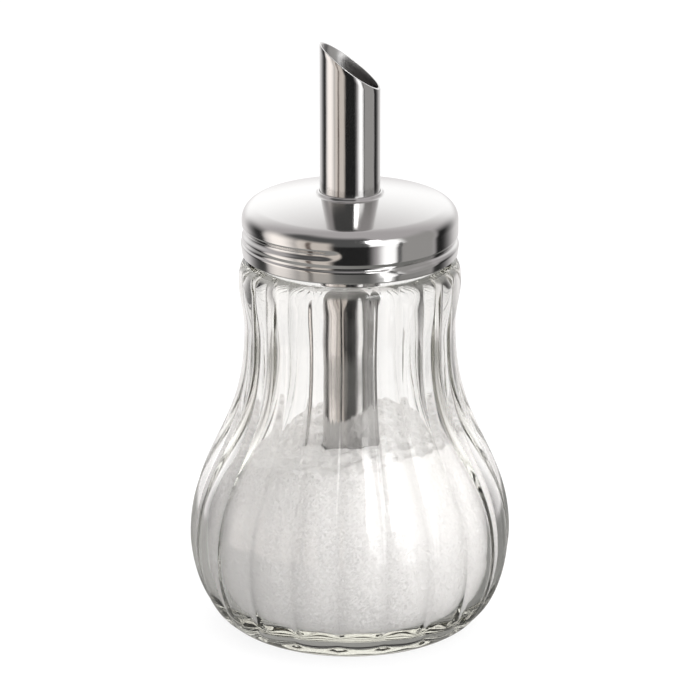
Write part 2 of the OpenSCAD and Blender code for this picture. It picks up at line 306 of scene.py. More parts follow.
def mesh_object(name, vertices, faces):
    """A smooth mesh object at the origin from arrays of vertices and lists of faces."""
    mesh = bpy.data.meshes.new(name)
    mesh.from_pydata(vertices.tolist(), [], faces)
    mesh.validate()
    mesh.shade_smooth()
    made = bpy.data.objects.new(name, mesh)
    bpy.context.scene.collection.objects.link(made)
    return made


def turned_piece(name, radius, height, angles, ring_shaped):
    """A lathe-like skin: point (i, j) stands at radius[i, j] and height[i, j] in the direction angles[i].

    Profiles run up the outside and down the inside. A ring-shaped skin joins each profile's end to its start.
    Otherwise both ends lie on the axis, and one pole vertex closes each of them.
    """
    columns, rows = radius.shape
    x = radius * np.cos(angles)[:, None]
    y = radius * np.sin(angles)[:, None]
    grid = np.stack([x, y, height], axis=-1)
    here = np.arange(columns)[:, None]
    following = (here + 1) % columns
    if ring_shaped:
        j = np.arange(rows)[None, :]
        up = (j + 1) % rows
        quads = np.stack(
            [here * rows + j, following * rows + j, following * rows + up, here * rows + up], axis=-1
        ).reshape(-1, 4)
        return mesh_object(name, grid.reshape(-1, 3), quads.tolist())
    inner = grid[:, 1:-1]
    rows -= 2
    j = np.arange(rows - 1)[None, :]
    quads = np.stack(
        [here * rows + j, following * rows + j, following * rows + j + 1, here * rows + j + 1], axis=-1
    ).reshape(-1, 4)
    low_pole = columns * rows
    high_pole = low_pole + 1
    here = here[:, 0]
    following = following[:, 0]
    low_fan = np.stack([np.full(columns, low_pole), following * rows, here * rows], axis=-1)
    high_fan = np.stack([np.full(columns, high_pole), here * rows + rows - 1, following * rows + rows - 1], axis=-1)
    poles = np.array([grid[0, 0], grid[0, -1]])
    vertices = np.concatenate([inner.reshape(-1, 3), poles])
    return mesh_object(name, vertices, quads.tolist() + low_fan.tolist() + high_fan.tolist())


def inner_wall(jar, gap):
    """The jar's inner profile at a gap inside the glass, from the waist down to the floor: two cubic curves."""
    belly = jar.belly_d / 2 - jar.wall - gap
    bore = jar.bore_d / 2 - gap
    floor_r = jar.foot_d / 2 - jar.wall - gap
    floor_z = jar.base_t + gap
    waist_z = jar.waist_z - jar.wall
    return np.concatenate(
        [
            curve(
                [
                    (bore, waist_z),
                    (bore, waist_z - jar.waist_pull),
                    (belly, jar.belly_z + jar.belly_pull),
                    (belly, jar.belly_z),
                ],
                44,
            ),
            curve([(belly, jar.belly_z), (belly, jar.belly_z - 9 * MM), (floor_r + 7 * MM, floor_z), (floor_r, floor_z)], 18),
            [(floor_r, floor_z)],
        ]
    )


def outer_wall(jar, neck):
    """The jar's outer profile over the lobes, from the foot up to the neck's root: four cubic curves."""
    foot, belly, waist, shoulder = (d / 2 for d in (jar.foot_d, jar.belly_d, jar.waist_d, jar.shoulder_d))
    rise = jar.shoulder_rise
    return np.concatenate(
        [
            curve([(foot, 0), (foot + 8.9 * MM, 3.9 * MM), (belly, jar.belly_z - 4 * MM), (belly, jar.belly_z)], 30),
            curve(
                [
                    (belly, jar.belly_z),
                    (belly, jar.belly_z + jar.belly_pull),
                    (waist, jar.waist_z - jar.waist_pull),
                    (waist, jar.waist_z),
                ],
                54,
            ),
            curve(
                [
                    (waist, jar.waist_z),
                    (waist, jar.waist_z + rise * 0.4),
                    (shoulder, neck.shoulder_z - rise * 0.35),
                    (shoulder, neck.shoulder_z),
                ],
                16,
            ),
            curve(
                [
                    (shoulder, neck.shoulder_z),
                    (shoulder, neck.shoulder_z + jar.root_rise * 0.6),
                    (shoulder - 0.4 * MM, neck.root_z - 0.4 * MM),
                    (neck.neck_r, neck.root_z),
                ],
                18,
            ),
        ]
    )


def crease(jar, neck, angles, z):
    """Depth of the creases, and how much of it there is at each angle.

    The depth grows out of the foot, is smaller at the waist and ends under the neck. The share is a parabola over
    each lobe, 0 along its middle line and 1 between two lobes.
    """
    lobe = (angles - jar.crease_angle) * jar.lobes / FULL_TURN
    share = (2 * (lobe - np.floor(lobe)) - 1) ** 2
    foot_blend = 5 * MM
    shoulder_blend = 5 * MM
    neck_share = ease((z - jar.belly_z) / (jar.waist_z - jar.belly_z))
    depth = jar.crease_h + (jar.crease_neck - jar.crease_h) * neck_share
    return depth * ease(z / foot_blend) * ease((neck.root_z - 1 * MM - z) / shoulder_blend), share


def inner_bulge(jar, neck, angles, z):
    """How far the inner wall bulges into the lobes, from a little above the floor up to the neck."""
    depth, share = crease(jar, neck, angles, z)
    floor_blend = 6 * MM
    return depth * (1 - share) * ease((z - jar.base_t) / floor_blend)


def make_jar(jar, cap):
    """The glass jar: fluted outside, threaded neck, rounded mouth, smooth inside and a recess under the foot."""
    neck = Neck(jar, cap)
    columns = jar.lobes * 16
    angles = jar.crease_angle + np.arange(columns) * FULL_TURN / columns
    around = angles[:, None]
    recess = jar.recess_d / 2
    under = np.concatenate(
        [
            line((0, jar.recess_h), (recess - 1.2 * MM, jar.recess_h), 6),
            curve(
                [(recess - 1.2 * MM, jar.recess_h), (recess - 0.4 * MM, jar.recess_h), (recess - 0.6 * MM, 0), (recess, 0)],
                6,
            ),
            line((recess, 0), (jar.foot_d / 2, 0), 4),
        ]
    )
    body = outer_wall(jar, neck)
    neck_z = np.linspace(neck.root_z, neck.mouth_z - jar.mouth_round, 44)
    edge = jar.mouth_round
    turn = np.linspace(0, math.pi / 2, 5)
    outer_edge = np.stack(
        [neck.neck_r - edge + edge * np.cos(turn), neck.mouth_z - edge + edge * np.sin(turn)], axis=-1
    )
    inner_edge = np.stack(
        [neck.bore_r + edge - edge * np.sin(turn), neck.mouth_z - edge + edge * np.cos(turn)], axis=-1
    )
    bore = line((neck.bore_r, neck.mouth_z - edge), (neck.bore_r, jar.waist_z - jar.wall), 12)
    floor = line((jar.foot_d / 2 - jar.wall, jar.base_t), (0, jar.base_t), 6)[1:]
    inside = np.concatenate([outer_edge[1:], inner_edge[:-1], bore, inner_wall(jar, 0), floor, [(0, jar.base_t)]])
    parts_r = []
    parts_z = []
    for profile in (under, body):
        flat = np.ones((columns, 1))
        parts_r.append(profile[None, :, 0] * flat)
        parts_z.append(profile[None, :, 1] * flat)
    depth, share = crease(jar, neck, around, parts_z[1])
    parts_r[1] = parts_r[1] - depth * share
    turned_back = cap.thread_angle - neck.thread_lag - around
    relief = thread_relief(turned_back, neck_z[None, :], neck.thread_top, cap.pitch, cap.thread_w, 340, (20, 20))
    parts_r.append(neck.neck_r + cap.thread_h * relief)
    parts_z.append(neck_z[None, :] * np.ones((columns, 1)))
    inside_z = inside[None, :, 1] * np.ones((columns, 1))
    parts_r.append(inside[None, :, 0] + inner_bulge(jar, neck, around, inside_z))
    parts_z.append(inside_z)
    return turned_piece("jar_glass", np.hstack(parts_r), np.hstack(parts_z), angles, False)


def skirt_radius(cap, neck, around, z):
    """Radius of the cap's skirt: the rolled groove and the step above the hem cut in, and the hem stands out."""
    relief = thread_relief(cap.thread_angle - around, z, neck.groove_top, cap.pitch, cap.groove_w, 345, (15, 25))
    step = cap.step_h * ridge((z - neck.hem_z - 0.5 * MM) / (1.1 * MM))
    hem = cap.hem_h - cap.hem_taper * (neck.hem_z - z) / cap.hem_w
    hem = hem * ease((neck.hem_z + 0.2 * MM - z) / (0.6 * MM))
    return neck.skirt_r - np.maximum(cap.groove_h * relief, step) + hem


def dome_profile(cap, neck, depth, crown_steps, edge_steps, hole_r):
    """Points from the skirt's top over the rounded edge and the dome to the hole: two tangent arcs."""
    edge = np.linspace(0, math.pi / 2 - neck.edge_angle, edge_steps, endpoint=False)
    edge_r = cap.knuckle_r - depth
    crown_r = cap.crown_r - depth
    crown = np.linspace(neck.edge_angle, math.asin(hole_r / crown_r), crown_steps)
    return np.concatenate(
        [
            np.stack([neck.knuckle_x + edge_r * np.cos(edge), neck.cap_z + edge_r * np.sin(edge)], axis=-1),
            np.stack([crown_r * np.sin(crown), neck.cap_z - neck.drop + crown_r * np.cos(crown)], axis=-1),
        ]
    )


def make_cap(jar, cap, tube):
    """The screw cap, pressed from sheet: skirt with a rolled groove, hem, rounded edge, dome and a lip at the tube."""
    neck = Neck(jar, cap)
    columns = 360
    angles = cap.thread_angle + np.arange(columns) * FULL_TURN / columns
    around = angles[:, None]
    hole_r = tube.tube_d / 2 + 0.03 * MM
    sheet = cap.sheet
    flat = np.ones((columns, 1))
    z_out = np.linspace(neck.skirt_z + sheet / 2, neck.cap_z, 84, endpoint=False)[None, :] * flat
    skirt_out = skirt_radius(cap, neck, around, z_out)
    over = dome_profile(cap, neck, 0, 44, 26, hole_r + 0.9 * MM)
    top = neck.crown_z + cap.lip_h
    lip = np.concatenate(
        [
            curve([over[-1], (hole_r + 0.55 * MM, neck.crown_z - 0.02 * MM), (hole_r + 0.45 * MM, top), (hole_r + 0.25 * MM, top)], 8)[1:],
            curve([(hole_r + 0.25 * MM, top), (hole_r + 0.1 * MM, top), (hole_r, top - 0.1 * MM), (hole_r, top - 0.2 * MM)], 4),
        ]
    )
    under = dome_profile(cap, neck, sheet, 14, 12, hole_r)[::-1]
    z_in = z_out[:, ::-2]
    skirt_in = skirt_radius(cap, neck, around, z_in) - sheet
    turn = np.linspace(math.pi, FULL_TURN, 7)[1:-1][None, :]
    rim_r = skirt_radius(cap, neck, around, z_out[:, :1]) - sheet / 2
    radius = [skirt_out, over[None, :, 0] * flat, lip[None, :, 0] * flat, under[None, :, 0] * flat, skirt_in]
    height = [z_out, over[None, :, 1] * flat, lip[None, :, 1] * flat, under[None, :, 1] * flat, z_in]
    radius.append(rim_r + sheet / 2 * np.cos(turn))
    height.append(neck.skirt_z + sheet / 2 + sheet / 2 * np.sin(turn) * flat)
    return turned_piece("cap_shell", np.hstack(radius), np.hstack(height), angles, True)


def make_tube(tube):
    """The pouring tube: every ring but the lowest ones is cut by the slanted plane of the mouth."""
    low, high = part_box("pour_tube")
    outer = tube.tube_d / 2
    inner = outer - tube.wall
    edge = tube.edge
    columns = 240
    angles = np.arange(columns) * FULL_TURN / columns
    around = angles[:, None]
    fall = math.tan(tube.slant)

    def cut(r):
        """Height of the slanted mouth at radius r in each direction."""
        return high.z - (outer + r * np.cos(around)) * fall

    share = np.linspace(0, 1, 90)[None, :]
    floor = low.z
    outside = floor + edge + (cut(outer) - edge - floor - edge) * share
    inside = floor + edge + (cut(inner) - edge - floor - edge) * share[:, ::-1]
    turn = np.linspace(0, math.pi / 2, 4)[None, :]
    rim_out = outer - edge + edge * np.cos(turn)
    rim_in = inner + edge - edge * np.sin(turn)
    flat = np.ones((columns, 1))
    radius = [outer * np.ones_like(outside), rim_out[:, 1:] * flat, rim_in[:, :-1] * flat, inner * np.ones_like(inside)]
    height = [
        outside,
        cut(rim_out[:, 1:]) - edge + edge * np.sin(turn[:, 1:]),
        cut(rim_in[:, :-1]) - edge + edge * np.cos(turn[:, :-1]),
        inside,
    ]
    radius.append(np.hstack([rim_in[:, ::-1][:, 1:] * flat, rim_out[:, ::-1][:, :-1] * flat]))
    height.append(
        np.hstack(
            [
                (floor + edge - edge * np.cos(turn[:, ::-1][:, 1:])) * flat,
                (floor + edge - edge * np.sin(turn[:, ::-1][:, :-1])) * flat,
            ]
        )
    )
    return turned_piece("spout_tube", np.hstack(radius), np.hstack(height), angles, True)


def sugar_top(sugar, x, y):
    """Height of the sugar's surface: a tilted plane, lumps of a few millimetres, grains, and a dip at the tube."""
    plane = sugar.fill_z + math.tan(sugar.fill_tilt) * x
    lumps = sugar.lumps * waves(x * 900, y * 900, 0 * x, 3) + 0.35 * sugar.lumps * waves(x * 2600, y * 2600, 0 * x, 5)
    grains = 0.12 * MM * waves(x * 9000, y * 9000, 0 * x, 8)
    dip = 1.2 * MM * np.exp(-(((np.hypot(x, y) - 7.2 * MM) / (3 * MM)) ** 2))
    return plane + lumps + grains - dip


def make_sugar(jar, cap, tube, sugar):
    """The sugar: against the glass outside, open round the tube, with a column that stands inside the tube."""
    neck = Neck(jar, cap)
    gap = sugar.gap
    columns = 360
    angles = np.arange(columns) * FULL_TURN / columns
    around = angles[:, None]
    wall = inner_wall(jar, gap)[::-1]
    side_r = jar.belly_d / 2 - jar.wall
    for _ in range(4):
        edge_z = sugar_top(sugar, side_r * np.cos(around), side_r * np.sin(around)) - 0.5 * MM
        side_r = np.interp(edge_z, wall[:, 1], wall[:, 0]) + inner_bulge(jar, neck, around, edge_z)
    floor_z = jar.base_t + gap
    share = np.linspace(0, 1, 90)[None, :]
    side_z = floor_z + (edge_z - floor_z) * share**1.3
    side = np.interp(side_z, wall[:, 1], wall[:, 0]) + inner_bulge(jar, neck, around, side_z)
    clear_r = tube.tube_d / 2 + gap
    column_r = tube.tube_d / 2 - tube.wall - gap
    foot_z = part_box("pour_tube")[0].z - gap
    flat = np.ones((columns, 1))
    top_share = np.linspace(0, 1, 60)[None, 1:]
    top_r = side_r + (clear_r - side_r) * top_share
    top_z = sugar_top(sugar, top_r * np.cos(around), top_r * np.sin(around))
    fall = np.linspace(0, 1, 20)[None, 1:]
    inner_z = top_z[:, -1:] + (foot_z - top_z[:, -1:]) * fall
    column_z = sugar_top(sugar, column_r * np.cos(around), column_r * np.sin(around))
    rise_z = foot_z + (column_z - foot_z) * np.linspace(0, 1, 20)[None, :]
    cap_r = column_r * np.linspace(1, 0, 8)[None, 1:] * flat
    cap_z = sugar_top(sugar, cap_r * np.cos(around), cap_r * np.sin(around))
    cap_z[:, -1] = sugar_top(sugar, 0.0, 0.0)
    floor_r = np.linspace(0, 1, 6)[None, :-1] * wall[0, 0] * flat
    radius = [floor_r, side, top_r, clear_r * np.ones_like(inner_z), column_r * np.ones_like(rise_z), cap_r]
    height = [floor_z * np.ones_like(floor_r), side_z, top_z, inner_z, rise_z, cap_z]
    return turned_piece("sugar_heap", np.hstack(radius), np.hstack(height), angles, False)


def node(tree, kind, inputs=None, **settings):
    """A new shader node: settings are its own properties, inputs are socket values or other nodes' outputs."""
    made = tree.nodes.new(kind)
    for key, value in settings.items():
        setattr(made, key, value)
    for key, value in (inputs or {}).items():
        if isinstance(value, bpy.types.NodeSocket):
            tree.links.new(value, made.inputs[key])
        else:
            made.inputs[key].default_value = value
    return made


def maths(tree, operation, a, b=0.0, clamp=False):
    """The output of a Math node."""
    return node(tree, "ShaderNodeMath", {0: a, 1: b}, operation=operation, use_clamp=clamp).outputs[0]


def group_with(name, inputs, outputs):
    """An empty node group with named sockets, and its input and output nodes."""
    tree = bpy.data.node_groups.new(name, "ShaderNodeTree")
    for label, kind, value in inputs:
        socket = tree.interface.new_socket(label, in_out="INPUT", socket_type=kind)
        if value is not None:
            socket.default_value = value
    for label, kind in outputs:
        tree.interface.new_socket(label, in_out="OUTPUT", socket_type=kind)
    return tree, tree.nodes.new("NodeGroupInput"), tree.nodes.new("NodeGroupOutput")


def handling_group():
    """Roughness and height of handled, polished metal: soft smudges, slight unevenness and fine drawn lines."""
    existing = bpy.data.node_groups.get("Polished metal")
    if existing:
        return existing
    tree, ins, outs = group_with(
        "Polished metal",
        [
            ("Place", "NodeSocketVector", None),
            ("Line place", "NodeSocketVector", None),
            ("Roughness", "NodeSocketFloat", 0.08),
            ("Smudges", "NodeSocketFloat", 0.04),
            ("Lines", "NodeSocketFloat", 0.3),
            ("Dents", "NodeSocketFloat", 1.0),
        ],
        [("Roughness", "NodeSocketFloat"), ("Height", "NodeSocketFloat")],
    )
    smudge = node(tree, "ShaderNodeTexNoise", {"Vector": ins.outputs["Place"], "Scale": 140, "Detail": 4})
    lines = node(tree, "ShaderNodeTexNoise", {"Vector": ins.outputs["Line place"], "Scale": 1, "Detail": 2})
    dents = node(tree, "ShaderNodeTexNoise", {"Vector": ins.outputs["Place"], "Scale": 260, "Detail": 1})
    smudged = maths(tree, "MULTIPLY", smudge.outputs["Fac"], ins.outputs["Smudges"])
    rough = maths(tree, "ADD", ins.outputs["Roughness"], smudged)
    lined = maths(tree, "MULTIPLY", lines.outputs["Fac"], ins.outputs["Lines"])
    dented = maths(tree, "MULTIPLY", dents.outputs["Fac"], ins.outputs["Dents"])
    tree.links.new(rough, outs.inputs["Roughness"])
    tree.links.new(maths(tree, "ADD", lined, dented), outs.inputs["Height"])
    return tree


def new_material(name):
    """An empty material with its tree, Principled shader and object coordinates."""
    material = bpy.data.materials.new(name)
    material.use_nodes = True
    tree = material.node_tree
    tree.nodes.clear()
    shader = tree.nodes.new("ShaderNodeBsdfPrincipled")
    output = tree.nodes.new("ShaderNodeOutputMaterial")
    tree.links.new(shader.outputs["BSDF"], output.inputs["Surface"])
    place = tree.nodes.new("ShaderNodeTexCoord").outputs["Object"]
    return material, tree, shader, place


def steel_material(name, colour, roughness, lines, dents, round_lines, dull_within=0.0):
    """Polished stainless steel, duller within a radius from the axis.

    Its fine lines run along the axis, or round it where round_lines is true.
    """
    material, tree, shader, place = new_material(name)
    across = 5200
    along = 60
    parts = node(tree, "ShaderNodeSeparateXYZ", {0: place})
    radius = maths(
        tree,
        "SQRT",
        maths(
            tree,
            "ADD",
            maths(tree, "MULTIPLY", parts.outputs["X"], parts.outputs["X"]),
            maths(tree, "MULTIPLY", parts.outputs["Y"], parts.outputs["Y"]),
        ),
    )
    if round_lines:
        turn = maths(tree, "ARCTAN2", parts.outputs["Y"], parts.outputs["X"])
        lined = node(
            tree,
            "ShaderNodeCombineXYZ",
            {
                "X": maths(tree, "MULTIPLY", radius, across),
                "Y": maths(tree, "MULTIPLY", parts.outputs["Z"], across),
                "Z": maths(tree, "MULTIPLY", maths(tree, "COSINE", turn), 3.0),
            },
        ).outputs[0]
    else:
        lined = node(tree, "ShaderNodeMapping", {"Vector": place, "Scale": (across, across, along)}).outputs[0]
    surface = node(
        tree,
        "ShaderNodeGroup",
        node_tree=handling_group(),
    )
    for label, value in (("Place", place), ("Line place", lined)):
        tree.links.new(value, surface.inputs[label])
    for label, value in (("Roughness", roughness), ("Smudges", 0.04), ("Lines", lines), ("Dents", dents)):
        surface.inputs[label].default_value = value
    bump = node(tree, "ShaderNodeBump", {"Height": surface.outputs["Height"], "Strength": 0.35, "Distance": 0.00002})
    dulled = maths(tree, "MULTIPLY", maths(tree, "LESS_THAN", radius, dull_within), 0.22)
    tree.links.new(maths(tree, "ADD", surface.outputs["Roughness"], dulled), shader.inputs["Roughness"])
    tree.links.new(bump.outputs["Normal"], shader.inputs["Normal"])
    shader.inputs["Base Color"].default_value = (*colour, 1)
    shader.inputs["Metallic"].default_value = 1
    return material


def glass_material(colour):
    """Clear glass with the slight waves of a blown jar."""
    material, tree, shader, place = new_material("clear_glass")
    wave = node(tree, "ShaderNodeTexNoise", {"Vector": place, "Scale": 90, "Detail": 1})
    bump = node(tree, "ShaderNodeBump", {"Height": wave.outputs["Fac"], "Strength": 0.5, "Distance": 0.0002})
    tree.links.new(bump.outputs["Normal"], shader.inputs["Normal"])
    depth_tint = node(tree, "ShaderNodeVolumeAbsorption", {"Color": (0.72, 0.715, 0.63, 1), "Density": 20.0})
    output = next(item for item in tree.nodes if item.type == "OUTPUT_MATERIAL")
    tree.links.new(depth_tint.outputs[0], output.inputs["Volume"])
    shader.inputs["Base Color"].default_value = (*colour, 1)
    shader.inputs["Roughness"].default_value = 0
    shader.inputs["IOR"].default_value = 1.5
    shader.inputs["Transmission Weight"].default_value = 1
    return material


def sugar_material(colour):
    """Granulated sugar: grains of half a millimetre that differ in tone and face their own way, so some glitter."""
    material, tree, shader, place = new_material("white_sugar")
    grains = node(tree, "ShaderNodeTexVoronoi", {"Vector": place, "Scale": 2300})
    fine = node(tree, "ShaderNodeTexNoise", {"Vector": place, "Scale": 420, "Detail": 3})
    grain_tone = maths(tree, "MULTIPLY", grains.outputs["Color"], 0.5)
    tone = maths(tree, "ADD", grain_tone, maths(tree, "MULTIPLY", fine.outputs["Fac"], 0.5))
    mixed = node(
        tree,
        "ShaderNodeMix",
        {0: tone, 6: (*(c * 0.95 for c in colour), 1), 7: (*(min(1, c * 1.03) for c in colour), 1)},
        data_type="RGBA",
    )
    tree.links.new(mixed.outputs[2], shader.inputs["Base Color"])
    surface = tree.nodes.new("ShaderNodeNewGeometry").outputs["Normal"]
    facing = node(tree, "ShaderNodeVectorMath", {0: grains.outputs["Color"], 1: (0.5, 0.5, 0.5)}, operation="SUBTRACT")
    tilt = node(tree, "ShaderNodeVectorMath", {0: facing.outputs[0], 3: 0.5}, operation="SCALE")
    tilted = node(tree, "ShaderNodeVectorMath", {0: surface, 1: tilt.outputs[0]}, operation="ADD")
    normal = node(tree, "ShaderNodeVectorMath", {0: tilted.outputs[0]}, operation="NORMALIZE")
    bump = node(tree, "ShaderNodeBump", {"Height": fine.outputs["Fac"], "Strength": 0.4, "Distance": 0.0004})
    tree.links.new(normal.outputs[0], bump.inputs["Normal"])
    tree.links.new(bump.outputs["Normal"], shader.inputs["Normal"])
    shader.inputs["Roughness"].default_value = 0.3
    return material


def plastic_material(name, colour):
    """Soft moulded plastic with a faint grain."""
    material, tree, shader, place = new_material(name)
    grain = node(tree, "ShaderNodeTexNoise", {"Vector": place, "Scale": 1500, "Detail": 2})
    bump = node(tree, "ShaderNodeBump", {"Height": grain.outputs["Fac"], "Strength": 0.2, "Distance": 0.00005})
    tree.links.new(bump.outputs["Normal"], shader.inputs["Normal"])
    shader.inputs["Base Color"].default_value = (*colour, 1)
    shader.inputs["Roughness"].default_value = 0.5
    return material


def dress(piece, material, body, replaced=None):
    """Gives a piece its material and its body, and hides the frame node that it replaces, if any."""
    piece.data.materials.clear()
    piece.data.materials.append(material)
    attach(piece, body)
    if replaced:
        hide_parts(replaced)


# The studio's cards as metal and glass see them, each over the ones before it. Each has the degrees right of the
# camera's direction where it begins, is full, is still full and ends, the same for its elevation, and its light.
STUDIO_CARDS = (
    ((-999, -998, -150, -95), (-999, -998, 32, 78), (0.96, 0.94, 0.94)),
    ((95, 150, 998, 999), (-999, -998, 32, 78), (0.88, 0.86, 0.86)),
    ((-999, -998, -165, -112), (-8, 14, 16, 50), (1.5, 1.5, 1.5)),
    ((116, 168, 998, 999), (-8, 14, 16, 50), (1.45, 1.45, 1.45)),
    ((38, 42, 96, 104), (-999, -998, 20, 45), (0.44, 0.43, 0.42)),
    ((-150, -112, -107, -97), (-999, -998, -2, 30), (0.04, 0.04, 0.04)),
    ((99, 108, 112, 152), (-999, -998, -2, 30), (0.02, 0.02, 0.02)),
    ((-92, -62, 18, 32), (-999, -998, 38, 72), (0.02, 0.02, 0.02)),
    ((-92, -62, 18, 32), (-4, 12, 38, 72), (0.12, 0.12, 0.12)),
    ((-62, -54, -26, -15), (-999, -998, 12, 34), (0.85, 0.775, 0.71)),
    ((-108, -86, -80, -44), (-999, -998, 3, 38), (1.6, 1.5, 1.43)),
    ((-49, -46, -43.5, -40), (-999, -998, 10, 26), (0.2, 0.16, 0.14)),
    ((28, 38, 48, 53), (-999, -998, 30, 40), (1.7, 1.7, 1.7)),
    ((19, 22, 50, 64), (0, 6, 28, 38), (1.8, 1.8, 1.8)),
    ((51, 53.5, 55, 58), (-999, -998, 6, 14), (0.14, 0.14, 0.14)),
    ((17, 20, 34, 37), (22, 23.5, 40, 44), (6.0, 6.0, 6.0)),
    ((38, 40, 46, 48), (-38, -35, -27, -24), (5.0, 5.0, 5.0)),
)
OVERHEAD = (0.6, 0.575, 0.58)
# Dark flags beside the white background that is seen straight through the glass
DARK_FLAGS = (
    ((-135, -118, -102, -80), (-999, -998, 20, 45), (0.05, 0.05, 0.05)),
    ((80, 102, 118, 135), (-999, -998, 20, 45), (0.05, 0.05, 0.05)),
)
# Soft lights on what is matt: the direction of each, the cosines from its edge to its full strength, and its light
MATT_LIGHTS = (
    ((0.6, -0.8, 0), (0.35, 0.75), 2.6),
    ((0, 1, 0), (0.3, 0.9), 2.2),
    ((0, 0.3, 0.95), (0.4, 0.95), 3.3),
)


def smooth_step(tree, value, low, high, falls=False):
    """0 below low, 1 above high and a smooth rise between them, or the other way round where it falls."""
    ends = (1.0, 0.0) if falls else (0.0, 1.0)
    made = node(
        tree, "ShaderNodeMapRange", {0: value, 1: low, 2: high, 3: ends[0], 4: ends[1]}, interpolation_type="SMOOTHSTEP"
    )
    return made.outputs[0]


def mix_colours(tree, factor, a, b):
    """Colour a where factor is 0 and b where it is 1."""
    return node(tree, "ShaderNodeMix", {0: factor, 6: a, 7: b}, data_type="RGBA").outputs[2]


def studio_card(tree, azimuth, elevation, behind, card):
    """A soft-edged card in front of what is behind it, in the directions that it covers."""
    across, upright, light = card
    mask = maths(
        tree,
        "MULTIPLY",
        smooth_step(tree, azimuth, across[0], across[1]),
        smooth_step(tree, azimuth, across[2], across[3], falls=True),
    )
    upright_mask = maths(
        tree,
        "MULTIPLY",
        smooth_step(tree, elevation, upright[0], upright[1]),
        smooth_step(tree, elevation, upright[2], upright[3], falls=True),
    )
    return mix_colours(tree, maths(tree, "MULTIPLY", mask, upright_mask), behind, (*light, 1))


def studio_world():
    """White to the camera, a soft plain light on what is matt, and the studio's cards in metal and glass."""
    world = bpy.data.worlds.new("studio")
    world.use_nodes = True
    tree = world.node_tree
    tree.nodes.clear()
    direction = tree.nodes.new("ShaderNodeTexCoord").outputs["Generated"]
    parts = node(tree, "ShaderNodeSeparateXYZ", {0: direction})
    x, y, z = (parts.outputs[i] for i in range(3))
    turn = maths(tree, "ARCTAN2", x, maths(tree, "MULTIPLY", y, -1.0))
    azimuth = maths(tree, "MULTIPLY", turn, 180 / math.pi)
    elevation = maths(tree, "MULTIPLY", maths(tree, "ARCSINE", z), 180 / math.pi)
    cards = (*OVERHEAD, 1)
    for card in STUDIO_CARDS:
        cards = studio_card(tree, azimuth, elevation, cards, card)
    path = tree.nodes.new("ShaderNodeLightPath")
    no_glint = maths(tree, "LESS_THAN", path.outputs["Glossy Depth"], 0.5)
    straight = maths(tree, "MULTIPLY", path.outputs["Is Transmission Ray"], no_glint)
    white = (1, 1, 1, 1)
    beyond = white
    for card in DARK_FLAGS:
        beyond = studio_card(tree, azimuth, elevation, beyond, card)
    seen = mix_colours(tree, straight, cards, beyond)
    matt_light = 0.0
    for towards, spread, strength in MATT_LIGHTS:
        facing = node(tree, "ShaderNodeVectorMath", {0: direction, 1: towards}, operation="DOT_PRODUCT")
        share = maths(tree, "MULTIPLY", smooth_step(tree, facing.outputs["Value"], *spread), strength)
        matt_light = maths(tree, "ADD", share, matt_light)
    diffuse = maths(tree, "GREATER_THAN", path.outputs["Diffuse Depth"], 0.5)
    seen = mix_colours(tree, diffuse, seen, matt_light)
    seen = mix_colours(tree, path.outputs["Is Camera Ray"], seen, white)
    background = node(tree, "ShaderNodeBackground", {"Color": seen})
    output = tree.nodes.new("ShaderNodeOutputWorld")
    tree.links.new(background.outputs[0], output.inputs["Surface"])
    bpy.context.scene.world = world


# The floor as glass and metal see it: painted shade near the object, an emitted grey in reflections left and right of
# it and straight through the glass at its foot, and the radii between which the painted shade passes into the bright
# ground behind, straight and reflected
FLOOR_PAINTED_SHADES = ((0.41, 0.405, 0.39, 1), (0.24, 0.24, 0.23, 1))
FOOT_PAINTED_SHADE = (0.42, 0.415, 0.4, 1)
FLOOR_REACH = (0.045, 0.07)
GLINT_REACH = (0.13, 0.22)


